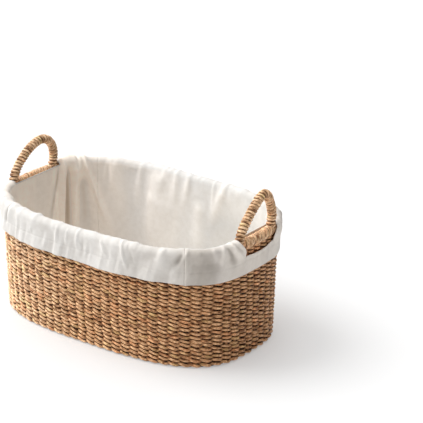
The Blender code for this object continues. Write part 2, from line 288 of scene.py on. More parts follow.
class Bundle:
    """Collects many tubes into one object, with a UV along and round each, and its depth."""

    def __init__(self):
        self.verts = []
        self.faces = []
        self.uvs = []
        self.depths = []
        self.count = 0

    def add(self, points, closed, depth=1.0):
        """points has the shape (rings, sides, 3). depth runs from 0 deep to 1 proud, for all or for each,
        and sets the painted shade.
        """
        rings, sides = points.shape[:2]
        middle = points.mean(1)
        length = float(np.linalg.norm(np.diff(middle, axis=0), axis=1).sum())
        self.verts.append(points.reshape(-1, 3))
        self.faces.append(tube_faces(rings, sides, closed) + self.count)
        self.uvs.append(strand_uv(rings, sides, closed, length, 3.7 * len(self.verts)))
        self.depths.append(np.broadcast_to(depth, (rings, sides)).ravel())
        self.count += rings * sides

    def build(self, name):
        """Joins the tubes into an object."""
        obj = make_object(name, np.concatenate(self.verts), np.concatenate(self.faces))
        layer = obj.data.uv_layers.new(name="strand")
        layer.data.foreach_set("uv", np.concatenate(self.uvs).astype(np.float32).ravel())
        set_point_values(obj, "proud", np.concatenate(self.depths))
        return obj


def ripple(turn, knots):
    """A smooth random wave round a loop, through one random value a knot, from -1 to 1."""
    values = RNG.uniform(-1, 1, knots)
    place = np.mod(turn, 1.0) * knots
    whole = np.floor(place).astype(int)
    part = ease(place - whole)
    return values[whole % knots] * (1 - part) + values[(whole + 1) % knots] * part


def ring_angles(sides):
    """The angles of a ring's points, with a flat side across each axis."""
    return 2 * np.pi * (np.arange(sides) + 0.5) / sides


def sweep(middle, across, up, half_across, half_up, sides, squareness=2.0):
    """Rings of a rounded section round a path. Arrays have one row a ring. A half size may be one number."""
    half_across = np.broadcast_to(half_across, len(middle))
    half_up = np.broadcast_to(half_up, len(middle))
    c, s = np.cos(ring_angles(sides)), np.sin(ring_angles(sides))
    a = np.sign(c) * np.abs(c) ** (2 / squareness)
    b = np.sign(s) * np.abs(s) ** (2 / squareness)
    return (middle[:, None, :]
            + across[:, None, :] * (half_across[:, None] * a)[..., None]
            + up[:, None, :] * (half_up[:, None] * b)[..., None])


def way_round(loop):
    """The direction of travel at each point of a closed path."""
    return unit(np.roll(loop, -1, 0) - np.roll(loop, 1, 0))


def square_to(way, direction):
    """The part of a direction that is square to the way, at length one."""
    return unit(direction - way * (direction * way).sum(1, keepdims=True))


# ---------------------------------------------------------------- twined weave

def twined_row(bundle, place, stakes, strand, sides=8, steps=8, scale=1.0):
    """One of the two strands of a twined row.

    place(turn, out, rise) gives points: out is towards the outer face, rise is across the row.
    The strand passes in front of one stake and behind the next, and dips as it crosses its twin.
    """
    rings = stakes * steps
    turn = np.arange(rings) / rings
    phase = np.pi * (stakes * turn - 0.5) + np.pi * strand
    front = np.cos(phase)
    bulge = np.sign(front) * np.abs(front) ** 0.62
    over = np.abs(front) ** 0.8
    behind = np.clip(-front, 0, 1)
    out = scale * (STRAND_OUT * bulge + 0.45 * MM * ripple(turn, stakes))
    rise = scale * (-STRAND_DIP * np.sin(phase) + 0.55 * MM * ripple(turn, stakes))
    rise = rise + scale * 0.4 * MM * ripple(turn, 9)
    tall = scale * STRAND_HALF_HEIGHT * (0.90 + 0.10 * over + 0.45 * behind)
    tall = tall * (1 + 0.16 * ripple(turn, stakes))
    deep = scale * STRAND_HALF_DEPTH * (0.80 + 0.20 * over) * (1 + 0.12 * ripple(turn, stakes))
    middle = place(turn, out, rise)
    way = way_round(middle)
    across = square_to(way, place(turn, out + 1 * MM, rise) - middle)
    # how proud each point stands, which sets the grass's painted shade
    depth = np.abs(out[:, None] + deep[:, None] * np.cos(ring_angles(sides))) / PROUD
    bundle.add(sweep(middle, across, np.cross(way, across), deep, tall, sides, 2.3), True, depth)


def wall_weave():
    """The wall's rows of twining, in three bands one above the other."""
    pieces = []
    grid = np.arange(600) / 600
    for band in range(ROW_BANDS):
        bundle = Bundle()
        for row in range(band * ROWS // ROW_BANDS, (band + 1) * ROWS // ROW_BANDS):
            z = FIRST_ROW_Z + row * ROW_PITCH
            shift = RNG.uniform(-0.10, 0.10) / STAKES
            wobble = 0.7 * MM * ripple(grid, 7)

            def place(turn, out, rise, z=z, wobble=wobble, shift=shift):
                lift = np.interp(np.mod(turn, 1.0), np.r_[grid, 1.0], np.r_[wobble, wobble[0]])
                return on_wall(turn + shift, out, z + rise + lift)

            for strand in (0, 1):
                twined_row(bundle, place, STAKES, strand)
        pieces.append(bundle.build(f"wall_rows_{band + 1}"))
    return pieces


def base_weave():
    """Rounds of twining on the base, from the wall in to the middle."""
    bundle = Bundle()
    inset = BASE_FIRST_INSET
    while inset < BASE_HALF[1] - 6 * MM:
        oval = make_oval(BASE_HALF - inset)
        stakes = max(8, 2 * round(oval[1][-1] / BASE_STAKE_SPACING / 2))

        def place(turn, out, rise, oval=oval):
            flat = on_oval(oval, turn) + outward(oval, turn) * rise[..., None]
            return np.concatenate([flat, (BASE_ROW_Z - out * BASE_ROW_FLATNESS)[..., None]], -1)

        for strand in (0, 1):
            twined_row(bundle, place, stakes, strand, sides=6, steps=6, scale=BASE_ROW_SCALE)
        inset += ROW_PITCH
    return bundle.build("base_rows")


def wall_stakes():
    """The seagrass stakes that the rows pass in front of and behind. Each third place has a wire instead."""
    bundle = Bundle()
    z = np.linspace(STAKE_LOW_Z, STAKE_HIGH_Z, 9)
    for stake in range(STAKES):
        if stake % 3 == 1:
            continue
        turn = np.full(len(z), (stake + 0.5) / STAKES)
        across = outward_3d(turn)
        along = np.cross(across, [0.0, 0.0, 1.0])
        middle = on_wall(turn, np.zeros(len(z)), z)
        # the stakes count as deep, so they are painted in shade
        bundle.add(sweep(middle, across, along, *STAKE_HALF, 6, 2.3), False, 0.3)
    return bundle.build("wall_stakes")


# ---------------------------------------------------------------- wound cord

def wound_cord(bundle, path, out, over, size, starts, closed, steps=12, full=None):
    """A core with cords wound side by side round it: out and over are directions square to the path.

    size is the core's radius, how far out the cords lie, their own radius, and the length of a turn.
    full, one value a point of the path, makes all of it thicker or thinner along its way.
    """
    full = np.ones(len(path)) if full is None else full
    core, radius, cord, lead = size
    # the core counts as deep, so it is painted in shade
    bundle.add(sweep(path, out, over, core * full, core * full, 12), closed, 0.25)
    length = float(np.linalg.norm(np.diff(path, axis=0), axis=1).sum())
    if closed:
        length += float(np.linalg.norm(path[0] - path[-1]))
    turns = max(1, round(length / lead))
    rings = turns * steps
    share = np.arange(rings) / rings if closed else np.linspace(0, 1, rings)
    grid = np.arange(len(path) + 1) / len(path) if closed else np.linspace(0, 1, len(path))

    def at(values):
        table = np.concatenate([values, values[:1]]) if closed else values
        return np.stack([np.interp(share, grid, column) for column in table.T], -1)

    thick = at(full[:, None])[:, 0]
    centre, a, b = at(path), at(out), at(over)
    # painted shade: where the cords meet in their grooves they count as deep and are painted darker
    facing_out = np.clip(np.cos(ring_angles(8)), 0, 1)
    depth = 0.05 + 0.95 * facing_out ** 1.3
    for start in range(starts):
        angle = 2 * np.pi * (turns * share + start / starts)
        wobble = 1 + 0.05 * ripple(share, max(4, turns * 2))
        ray = a * np.cos(angle)[:, None] + b * np.sin(angle)[:, None]
        middle = centre + ray * (radius * wobble * thick)[:, None]
        way = way_round(middle) if closed else unit(np.gradient(middle, axis=0))
        across = square_to(way, ray)
        wide = cord * thick * (1 + 0.10 * ripple(share, max(4, turns * 3)))
        rings_of_cord = sweep(middle, across, np.cross(way, across), wide * CORD_FLATNESS, wide, 8)
        bundle.add(rings_of_cord, closed, depth)


def rim_binding():
    """Four cords wound together round the rim wire, fuller where the cloth leaves it bare at a handle."""
    count = 720
    turn = np.arange(count) / count
    path = on_wall(turn, np.zeros(count), np.full(count, RIM_Z))
    over = np.tile([0.0, 0.0, 1.0], (count, 1))
    full = 1 + BINDING_SWELL * slot_share(turn, 0.009)
    bundle = Bundle()
    wound_cord(bundle, path, outward_3d(turn), over, BINDING, BINDING_CORDS, True, full=full)
    return bundle.build("rim_cords")


def rim_by_y():
    """Places along the right-hand end of the rim's oval: their turns and their points."""
    turn = np.linspace(-0.12, 0.12, 1200)
    return turn, on_oval(RIM_OVAL, turn)


def bow_path(name):
    """The middle line of a handle, from its far foot over to its near one."""
    side, middle, half, rise, pinch, lean = HANDLES[name]
    angle = np.linspace(0, np.pi, 90)
    across = (np.cos(angle) + pinch * np.cos(3 * angle)) / (1 + pinch)
    up = (np.sin(angle) - pinch * np.sin(3 * angle)) / (1 + pinch)
    leg = np.linspace(HANDLE_FOOT_Z, HANDLE_SPRING_Z, 8)[:-1]
    y = np.r_[np.full(7, middle + half), middle + half * across + lean * up, np.full(7, middle - half)]
    z = np.r_[leg, HANDLE_SPRING_Z + rise * up, leg[::-1]]
    points = rim_by_y()[1]
    x = np.full(len(y), side * np.interp(middle + half, points[:, 1], points[:, 0]))
    path = np.stack([x, y, z], -1)
    run = np.r_[0, np.cumsum(np.linalg.norm(np.diff(path, axis=0), axis=1))]
    even = np.linspace(0, run[-1], 160)
    return np.stack([np.interp(even, run, column) for column in path.T], -1)


def handle_wrap(name):
    """One cord wound closely round a handle's wire."""
    path = bow_path(name)
    out = np.tile([1.0, 0.0, 0.0], (len(path), 1))
    over = np.cross(unit(np.gradient(path, axis=0)), out)
    bundle = Bundle()
    wound_cord(bundle, path, out, over, WRAP, 1, False, steps=16)
    return bundle.build("handle_cord_" + name)


# ---------------------------------------------------------------- liner

def slot_turns(name):
    """Where a handle's slot in the cuff starts and ends, in turns."""
    side, middle, half = HANDLES[name][:3]
    turn, points = rim_by_y()
    reach = half + SLOT_MARGIN
    low, high = [float(np.interp(y, points[:, 1], turn)) for y in (middle - reach, middle + reach)]
    return (low, high) if side > 0 else (0.5 - high, 0.5 - low)


SLOTS = {name: slot_turns(name) for name in HANDLES}

# Folds seen in the cloth: start and end in (turn, s), half width, height. The cloth never sinks far into its
# shape, so most of a hollow's depth shows only as painted shade
FOLDS = (
    ((0.4568, -0.010), (0.4790, -0.140), 3.6 * MM, -10.0 * MM),
    ((0.4640, -0.060), (0.4700, -0.200), 6.0 * MM, 6.0 * MM),
    ((0.4500, 0.000), (0.4550, -0.200), 3.4 * MM, 11.0 * MM),
    ((0.4420, -0.020), (0.4430, -0.200), 6.5 * MM, -13.0 * MM),
    ((0.4190, -0.050), (0.4130, -0.190), 10.0 * MM, -9.0 * MM),
    ((0.4280, -0.020), (0.4330, -0.180), 5.0 * MM, 6.0 * MM),
    ((0.4380, 0.018), (0.4360, -0.030), 12.0 * MM, 8.0 * MM),
    ((0.4180, 0.025), (0.4330, -0.060), 6.0 * MM, 5.0 * MM),
    ((0.4400, 0.007), (0.4390, -0.016), 12.0 * MM, 13.0 * MM),
    ((0.4255, 0.002), (0.4270, -0.024), 2.4 * MM, -7.0 * MM),
    ((0.4175, 0.004), (0.3790, -0.150), 4.5 * MM, 10.0 * MM),
    ((0.3701, 0.004), (0.3735, -0.085), 6.0 * MM, 3.4 * MM),
    ((0.3620, 0.004), (0.3600, -0.150), 12.0 * MM, 4.0 * MM),
    ((0.3292, 0.004), (0.3360, -0.095), 6.0 * MM, 3.2 * MM),
    ((0.3000, -0.020), (0.3050, -0.170), 16.0 * MM, 4.0 * MM),
    ((0.2722, 0.004), (0.2740, -0.085), 5.5 * MM, 3.0 * MM),
    ((0.2507, 0.004), (0.2570, -0.080), 5.5 * MM, 3.0 * MM),
    ((0.3146, -0.070), (0.2700, -0.105), 11.0 * MM, 3.0 * MM),
    ((0.1924, 0.000), (0.2110, -0.100), 8.0 * MM, 4.5 * MM),
    ((0.2306, -0.060), (0.2319, -0.180), 12.0 * MM, 4.0 * MM),
    ((0.8990, 0.004), (0.8965, 0.056), 2.2 * MM, 2.0 * MM),
    ((0.9030, 0.032), (0.9500, 0.032), 11.0 * MM, -3.2 * MM),
    ((0.8930, 0.002), (0.8850, 0.040), 5.0 * MM, -6.5 * MM),
    ((0.8985, 0.008), (0.8800, 0.054), 2.8 * MM, 4.0 * MM),
    ((0.8700, 0.004), (0.8690, 0.050), 7.0 * MM, 4.0 * MM),
    ((0.8930, 0.010), (0.8850, 0.040), 3.0 * MM, -4.0 * MM),
    ((0.9425, 0.003), (0.9380, 0.036), 2.6 * MM, 5.0 * MM),
    ((0.9468, 0.005), (0.9545, 0.046), 3.0 * MM, -11.0 * MM),
    ((0.9540, 0.003), (0.9600, 0.034), 2.4 * MM, 4.0 * MM),
    ((0.9590, 0.006), (0.9640, 0.032), 2.0 * MM, -7.0 * MM),
    ((0.9300, 0.004), (0.9330, 0.036), 4.0 * MM, 3.5 * MM),
    ((0.9130, 0.006), (0.9110, 0.040), 4.0 * MM, 3.0 * MM),
    ((0.0870, 0.036), (0.0870, 0.002), 7.0 * MM, -4.0 * MM),
    ((0.0600, 0.018), (0.0540, 0.056), 10.0 * MM, 2.0 * MM),
    ((0.6370, 0.002), (0.6240, 0.047), 3.0 * MM, 3.0 * MM),
    ((0.6290, 0.004), (0.6180, 0.045), 1.3 * MM, -13.0 * MM),
    ((0.7194, 0.010), (0.7146, 0.044), 2.6 * MM, 3.0 * MM),
    ((0.7354, 0.008), (0.7306, 0.046), 2.6 * MM, 3.0 * MM),
    ((0.7521, 0.000), (0.7472, 0.042), 2.6 * MM, 3.2 * MM),
    ((0.7600, 0.008), (0.7560, 0.050), 2.0 * MM, -2.5 * MM),
    ((0.7868, 0.012), (0.7965, 0.042), 2.6 * MM, 3.2 * MM),
    ((0.8160, 0.000), (0.8236, 0.060), 2.2 * MM, 3.4 * MM),
    ((0.8260, 0.004), (0.8330, 0.050), 2.4 * MM, -2.5 * MM),
)


def scattered_folds():
    """Random folds: pleats in the lining, wrinkles all over, short folds inside the rim, and cuff folds."""
    made = []
    for _ in range(13):
        turn = RNG.uniform(0.50, 1.16)
        made.append(((turn, -0.010), (turn + RNG.uniform(-0.012, 0.012), -RNG.uniform(0.06, 0.16)),
                     RNG.uniform(5, 9) * MM, RNG.uniform(3, 7) * MM))
    for _ in range(60):
        turn = RNG.uniform(0, 1)
        start = RNG.choice([-0.008, 0.004, 0.030])
        made.append(((turn, start), (turn + RNG.uniform(-0.010, 0.010), start + RNG.uniform(0.010, 0.024)),
                     RNG.uniform(1.6, 2.8) * MM, RNG.uniform(0.8, 1.7) * MM))
    for _ in range(50):
        turn = RNG.uniform(0, 1)
        made.append(((turn, 0.004), (turn + RNG.uniform(-0.006, 0.006), -RNG.uniform(0.02, 0.07)),
                     RNG.uniform(2.0, 4.5) * MM, RNG.uniform(0.8, 2.2) * MM))
    for _ in range(26):
        turn = RNG.uniform(0.96, 1.60)
        start = (turn, RNG.uniform(0.0, 0.012))
        made.append((start, (turn + RNG.uniform(-0.010, 0.010), RNG.uniform(0.036, 0.052)),
                     RNG.uniform(2.5, 4) * MM, RNG.uniform(1.5, 3) * MM))
    return tuple(made)


CREASES = FOLDS + scattered_folds()


class Noise:
    """Smooth noise from -1 to 1 over turns round the basket and metres down the cloth."""

    def __init__(self, knots, step):
        self.knots = knots
        self.step = step
        self.values = RNG.uniform(-1, 1, (knots, 64))

    def at(self, turn, s):
        """The noise at places on the cloth. turn and s are arrays that go together by shape."""
        x = np.mod(turn, 1.0) * self.knots
        y = np.clip(s / self.step + 32.0, 0.0, 62.9)
        i, j = np.floor(x).astype(int), np.floor(y).astype(int)
        a, b = ease(x - i), ease(y - j)
        here, ahead = i % self.knots, (i + 1) % self.knots
        low = self.values[here, j] * (1 - a) + self.values[ahead, j] * a
        high = self.values[here, j + 1] * (1 - a) + self.values[ahead, j + 1] * a
        return low * (1 - b) + high * b


FINE = Noise(230, 0.045)
GATHERS = Noise(84, 0.060)
SWELLS = Noise(30, 0.080)
SLACK = Noise(14, 0.110)


def cloth_frame(turn, s):
    """The offset and height of the cloth at s metres from its crest, inside below 0 and outside above."""
    quarter = OVER_RIM_R * np.pi / 2
    angle = np.clip(s / OVER_RIM_R, -np.pi / 2, np.pi / 2)
    inside = np.clip(-s - quarter, 0.0, None)
    outside = np.clip(s - quarter, 0.0, None)
    # the elastic draws the hem in and down, most of all round the ends
    ends = smooth(np.abs(on_oval(RIM_OVAL, turn)[..., 0]), 0.20, 0.26)
    drawn_in = (2.2 + 2.0 * ends) * MM * smooth(outside, 0.004, 0.026)
    drawn_down = (2.0 + 4.0 * ends) * MM * smooth(outside, 0.002, 0.032)
    offset = OVER_RIM_R * np.sin(angle) - 0.0026 * inside / 0.228
    offset = offset + 0.7 * MM * smooth(outside, 0, 0.012) - drawn_in
    z = CLOTH_RIM_Z + OVER_RIM_R * np.cos(angle) - inside - outside - drawn_down
    return offset, z


def slot_share(turn, inset=0.0):
    """How far a place is inside a handle's slot: 1 within it, 0 clear of it. inset narrows it, in turns."""
    share = np.zeros(np.shape(turn))
    for first, last in SLOTS.values():
        away = np.abs(turns_apart(turn, (first + last) / 2))
        share = np.maximum(share, smooth((last - first) / 2 - inset - away, -0.006, 0.006))
    return share


def end_rise(turn):
    """How far the top edge of the band under a slot rises towards the slot's ends."""
    rise = np.zeros(np.shape(turn))
    for name, (first, last) in SLOTS.items():
        place = turns_apart(turn, (first + last) / 2) / ((last - first) / 2)
        far = place * HANDLES[name][0] > 0
        height = np.where(far, 13.0, 7.0) * MM
        rise = rise + height * np.clip(np.abs(place), 0, 1) ** 2 * (np.abs(place) < 1.6)
    return rise


def beside_slot(turn):
    """1 at the edge of a handle's slot, fading to 0 over a few centimetres."""
    share = np.zeros(np.shape(turn))
    for edges in SLOTS.values():
        for edge in edges:
            share = np.maximum(share, np.exp(-(turns_apart(turn, edge) / 0.028) ** 2))
    return share


def crease(turn, s, start, end, width, height):
    """A fold along a line from start to end, each (turn, s), that fades out at both ends."""
    x = turns_apart(turn, start[0]) * RIM_LENGTH
    y = s - start[1]
    dx = (end[0] - start[0]) * RIM_LENGTH
    dy = end[1] - start[1]
    length = math.hypot(dx, dy)
    along = (x * dx + y * dy) / length ** 2
    across = (x * dy - y * dx) / length
    fade = smooth(along, -0.10, 0.10) * smooth(1 - along, -0.21, 0.49)
    spread = width * (0.75 + 0.7 * np.clip(along, 0, 1))
    return height * fade * np.exp(-0.5 * (across / spread) ** 2)


def folds(turn, s):
    """How far the cloth stands off its plain shape, along its own outward normal."""
    cuff = smooth(s, 0.006, 0.026)
    lining = smooth(-s, 0.006, 0.026)
    crest = 1 - cuff - lining
    low = smooth(s, 0.03, 0.05)
    below = np.clip((-s - 0.016) / 0.228, 0, 1)
    slant = turn + 0.010 * s / 0.06
    on_crest = 0.7 * FINE.at(turn, s) + 1.5 * (GATHERS.at(turn, 0 * s) + 0.4) + 0.8 * SWELLS.at(turn, s)
    on_cuff = (0.9 + 0.5 * low) * FINE.at(slant, s) + (1.9 + 0.3 * low) * GATHERS.at(slant, s)
    on_cuff = on_cuff + 1.6 * SWELLS.at(turn, s)
    on_lining = 1.1 * GATHERS.at(turn, s * 0.5) * (1 - below) ** 3
    on_lining = on_lining + 2.6 * (SWELLS.at(turn + 0.02 * below, s * 0.5) + 0.3) * (1 - 0.5 * below)
    on_lining = on_lining + 5.5 * (SLACK.at(turn, s) + 0.5) * np.sin(np.pi * below) ** 0.7
    out = MM * (crest * on_crest + cuff * on_cuff + lining * on_lining)
    for start, end, width, height in CREASES:
        out = out + crease(turn, s, start, end, width, height) * (1 - 0.5 * crest)
    return out * (1 - 0.35 * cuff * beside_slot(turn))


def pulled_to_slots(turn, s):
    """Places on the cloth, moved in towards a slot: the cuff is pulled towards the band under the handle."""
    moved = turn.copy()
    for first, last in SLOTS.values():
        for edge, way in ((first, 1), (last, -1)):
            near = np.exp(-(turns_apart(turn, edge) / 0.014) ** 2)
            moved = moved + way * smooth(s, 0.004, 0.034) * 0.010 * near
    return moved


def cloth(turn, s):
    """Points of the liner's cloth."""
    turn, s = np.broadcast_arrays(np.asarray(turn, float), np.asarray(s, float))
    slot = slot_share(turn)
    moved = pulled_to_slots(turn, s)
    offset, z = cloth_frame(moved, s)
    # in a slot the lining goes straight up inside the rim
    straight = slot * smooth(s, 0.0, SLOT_TOP_S)
    offset = offset * (1 - straight) - OVER_RIM_R * straight
    z = z * (1 - straight) + (CLOTH_RIM_Z + OVER_RIM_R * np.pi / 2 + s) * straight
    # the band under a slot lies close to the wall, and rises at both ends of the slot
    band = slot * smooth(s, 0.010, 0.036) * (1 - smooth(s, 0.038, 0.064))
    offset = offset - band * 0.4 * MM
    z = z + band * end_rise(moved)
    # the folds stand off this, and never sink into the weave
    lift = folds(turn, s) * (1 - 0.75 * straight * smooth(s, -0.050, -0.015)) * (1 - 0.6 * band)
    lowest = np.interp(s, (-0.03, -0.02, 0.020, 0.032), (-2.5, -0.1, -0.1, -2.2)) * MM
    lift = np.maximum(lift, lowest) * smooth(s, -CLOTH_INSIDE, 0.02 - CLOTH_INSIDE)
    angle = np.clip(s / OVER_RIM_R, -np.pi / 2, np.pi / 2)
    share = np.where(s > 0, 1.0, np.clip(z / RIM_Z, 0, 1))[..., None]
    offset = offset + lift * np.sin(angle)
    offset = np.where(s > 0.024, np.maximum(offset, CUFF_NEAREST), offset)
    z = z + lift * np.cos(angle) * (1 - straight)
    flat = on_oval(BASE_OVAL, moved) * (1 - share) + on_oval(RIM_OVAL, moved) * share
    flat = flat + outward(RIM_OVAL, moved) * offset[..., None]
    # the lining runs straight past each handle
    inside = np.maximum(smooth(-s, 0.004, 0.016), straight)
    reach = np.clip(np.abs(flat[..., 0]) - LINING_MAX_X, 0, None) * inside
    x = flat[..., 0] - np.sign(flat[..., 0]) * reach
    return np.stack([x, flat[..., 1], z], -1)


def cloth_rows():
    """The rows of the cloth grid, in metres from the crest: base seam, lining, rim, cuff and hem."""
    inside = np.concatenate([np.linspace(-CLOTH_INSIDE, -0.05, 40), np.linspace(-0.0462, SLOT_TOP_S, 12)])
    over = np.linspace(SLOT_TOP_S + 0.0014, 0.0155, 16)
    outside = np.linspace(0.0175, SLOT_BAND_S, 9)
    band = np.linspace(SLOT_BAND_S + 0.0019, CLOTH_OUTSIDE, 17)
    return np.concatenate([inside, over, outside, band])


def cloth_columns(first, last):
    """The turns of a panel's columns from seam to seam, with one at each edge of a slot."""
    marks = sorted([first, last] + [mark for slot in SLOTS.values() for mark in slot if first < mark < last])
    columns = [marks[0]]
    for near, far in zip(marks, marks[1:]):
        count = max(2, round((far - near) * RIM_LENGTH / CLOTH_COLUMN))
        columns += list(np.linspace(near, far, count + 1)[1:])
    return np.array(columns)


def panel_faces(turn, rows, across):
    """A panel's quads, less those in a handle's slot. across is its number of points from end to end."""
    i = np.arange(len(turn) - 1)[:, None]
    k = np.arange(across - 1)[None, :]
    corner = i * across + k
    faces = np.stack([corner, corner + across, corner + across + 1, corner + 1], -1)
    middle = (turn[:-1] + turn[1:]) / 2
    in_slot = np.zeros(len(middle), bool)
    for first, last in SLOTS.values():
        in_slot |= (middle > first) & (middle < last)
    row_middle = (rows[:-1] + rows[1:]) / 2
    open_rows = np.zeros(across - 1, bool)
    open_rows[:len(row_middle)] = (row_middle > SLOT_TOP_S) & (row_middle < SLOT_BAND_S)
    return faces[~(in_slot[:, None] & open_rows[None, :])]


def cloth_panel(name, first, last):
    """One panel of the liner from seam to seam, its lining and its cuff in one sheet."""
    turn = cloth_columns(first, last)
    rows = cloth_rows()
    points = cloth(turn[:, None], rows[None, :])
    # seams pull the cloth in a little, and so does the stitching of the casing
    edge = np.minimum(turn - turn[0], turn[-1] - turn) * RIM_LENGTH
    points -= surface_normal(points) * (0.45 * MM * np.exp(-(edge / 0.0025) ** 2))[:, None, None]
    stitches = 0.9 * MM * np.exp(-((rows - CASING_S) / 0.0011) ** 2)
    points -= surface_normal(points) * stitches[None, :, None]
    hem = hem_roll(points)
    points = np.concatenate([points, hem], 1)
    panel = make_object(name, points.reshape(-1, 3), panel_faces(turn, rows, points.shape[1]))
    # for its painted shade, the lining counts as standing clear of the basket, most of all at its left-hand
    # end, where it is painted lighter; the folds here are not held back by the weave, so deep hollows are
    # painted in shade
    lift = folds(turn[:, None], rows[None, :])
    lift[:, :rows.searchsorted(-0.012)] += 2.6 * MM - 0.009 * on_oval(RIM_OVAL, turn)[:, :1]
    lift = np.concatenate([lift, np.repeat(lift[:, -1:], hem.shape[1], 1)], 1)
    lining = np.concatenate([rows < 0, np.zeros(hem.shape[1], bool)])
    set_point_values(panel, "inside", np.broadcast_to(lining, points.shape[:2]))
    set_point_values(panel, "proud", lift / MM)
    drop_loose(panel)
    thicken(panel, CLOTH_THICK)
    return panel


def surface_normal(points):
    """Normals of a grid of points, outwards from the cloth."""
    return unit(np.cross(np.gradient(points, axis=1), np.gradient(points, axis=0)))


def hem_roll(points):
    """The hem, turned under and up inside the cuff."""
    edge = points[:, -1]
    normal = surface_normal(points)[:, -1]
    rings = []
    for angle in np.linspace(0, np.pi, 6)[1:]:
        under = normal * (1 - math.cos(angle)) + np.array([0, 0, 1]) * math.sin(angle)
        rings.append(edge - HEM_R * under)
    for rise in (2.5 * MM, 5.0 * MM):
        rings.append(edge - normal * 2 * HEM_R + np.array([0, 0, rise]))
    return np.stack(rings, 1)


def drop_loose(obj):
    """Removes the points that no face uses."""
    work = bmesh.new()
    work.from_mesh(obj.data)
    bmesh.ops.delete(work, geom=[v for v in work.verts if not v.link_faces], context="VERTS")
    work.to_mesh(obj.data)
    work.free()


def thicken(obj, thickness):
    """Gives a sheet its thickness, and applies it."""
    modifier = obj.modifiers.new("thickness", "SOLIDIFY")
    modifier.thickness = thickness
    modifier.offset = 0.0
    graph = bpy.context.evaluated_depsgraph_get()
    mesh = bpy.data.meshes.new_from_object(obj.evaluated_get(graph))
    obj.modifiers.clear()
    obj.data = mesh
    mesh.polygons.foreach_set("use_smooth", np.ones(len(mesh.polygons), bool))


def liner_bottom():
    """The liner's bottom: slack cloth lying on the woven base, inside the lining."""
    rings, sides = 34, 240
    turn = np.arange(sides) / sides
    edge = cloth(turn, np.full(sides, -CLOTH_INSIDE))[:, :2]
    verts = []
    for part in np.linspace(0, 1, rings)[1:]:
        near_edge = math.sin(math.pi * part) ** 0.5
        wave = 1.6 * MM * (SWELLS.at(turn, 0 * turn + 0.4 * part) + 1) * near_edge
        slack = 1.5 * MM * (SLACK.at(turn, 0 * turn - 0.5 * part) + 1) * near_edge
        z = LINER_BOTTOM_Z + (wave + slack) * part
        verts.append(np.concatenate([edge * part, z[:, None]], 1))
    verts = np.concatenate(verts + [np.array([[0.0, 0.0, LINER_BOTTOM_Z]])])
    # quads all the way in, with a fan of them round the middle point
    k = 2 * np.arange(sides // 2)
    fan = np.stack([np.full(len(k), len(verts) - 1), k, k + 1, (k + 2) % sides], -1)
    bottom = make_object("liner_bottom", verts, np.concatenate([tube_faces(rings - 1, sides, False), fan]))
    thicken(bottom, CLOTH_THICK)
    return bottom


def slot_hem(name):
    """A narrow rolled hem round a handle's slot."""
    first, last = SLOTS[name]
    across = np.linspace(first, last, 70)
    down = np.linspace(SLOT_TOP_S, SLOT_BAND_S, 40)
    top = cloth(across, SLOT_TOP_S)
    far = cloth(last, down)[1:]
    bottom = cloth(across[::-1], SLOT_BAND_S)[1:]
    near = cloth(first, down[::-1])[1:-1]
    loop = np.concatenate([top, far, bottom, near])
    way = way_round(loop)
    side = unit(np.cross(way, [0.31, 0.17, 0.93]))
    bundle = Bundle()
    bundle.add(sweep(loop, side, np.cross(way, side), SLOT_HEM_R, SLOT_HEM_R, 6), True)
    return bundle.build("slot_hem_" + name)


def elastic_band():
    """The elastic in the hem's casing, hidden by the cuff."""
    turn = np.arange(360) / 360
    rings = []
    for z, out in ELASTIC_CORNERS:
        flat = on_oval(RIM_OVAL, turn) + outward(RIM_OVAL, turn) * out * MM
        rings.append(np.concatenate([flat, np.full((360, 1), z)], 1))
    bundle = Bundle()
    bundle.add(np.stack(rings, 1), True)
    return bundle.build("casing_elastic")


# ---------------------------------------------------------------- materials

def connect(tree, node, inputs):
    """Sets a node's inputs, each to a value or to another node's output."""
    for key, value in inputs.items():
        if isinstance(value, bpy.types.NodeSocket):
            tree.links.new(value, node.inputs[key])
        else:
            node.inputs[key].default_value = value


def add_node(tree, kind, inputs=None, **settings):
    """A new node with its settings and inputs."""
    node = tree.nodes.new(kind)
    for key, value in settings.items():
        setattr(node, key, value)
    connect(tree, node, inputs or {})
    return node


def node_material(name):
    """A new material, with its node tree and its shader."""
    material = bpy.data.materials.new(name)
    material.use_nodes = True
    return material, material.node_tree, material.node_tree.nodes["Principled BSDF"]


def place_on(tree):
    """A place on the object, in metres."""
    return add_node(tree, "ShaderNodeTexCoord").outputs["Object"]


def point_value(tree, name):
    """One of the numbers that set_point_values gave the object's points."""
    return add_node(tree, "ShaderNodeAttribute", attribute_name=name).outputs["Fac"]


def map_range(tree, value, start, end, low=0.0, high=1.0):
    """A value from start to end, spread over low to high."""
    inputs = {"Value": value, "From Min": start, "From Max": end, "To Min": low, "To Max": high}
    return add_node(tree, "ShaderNodeMapRange", inputs).outputs["Result"]


def stretched(tree, place, scale, shift=(0.0, 0.0, 0.0), slant=0.0):
    """Places along and round a strand, scaled apart so that a noise on them is drawn out along it."""
    inputs = {"Vector": place, "Scale": scale, "Location": shift, "Rotation": (0.0, 0.0, slant)}
    return add_node(tree, "ShaderNodeMapping", inputs).outputs[0]


def noise(tree, place, scale, detail, roughness=0.5):
    """A noise's value at a place, about 0 to 1."""
    inputs = {"Vector": place, "Scale": scale, "Detail": detail, "Roughness": roughness}
    return add_node(tree, "ShaderNodeTexNoise", inputs).outputs["Fac"]


def ramp(tree, factor, stops):
    """The colour at a factor, between stops of position and colour."""
    node = add_node(tree, "ShaderNodeValToRGB", {"Fac": factor})
    elements = node.color_ramp.elements
    while len(elements) < len(stops):
        elements.new(0.5)
    for element, (position, colour) in zip(elements, stops):
        element.position = position
        element.color = (*colour, 1.0)
    return node.outputs["Color"]


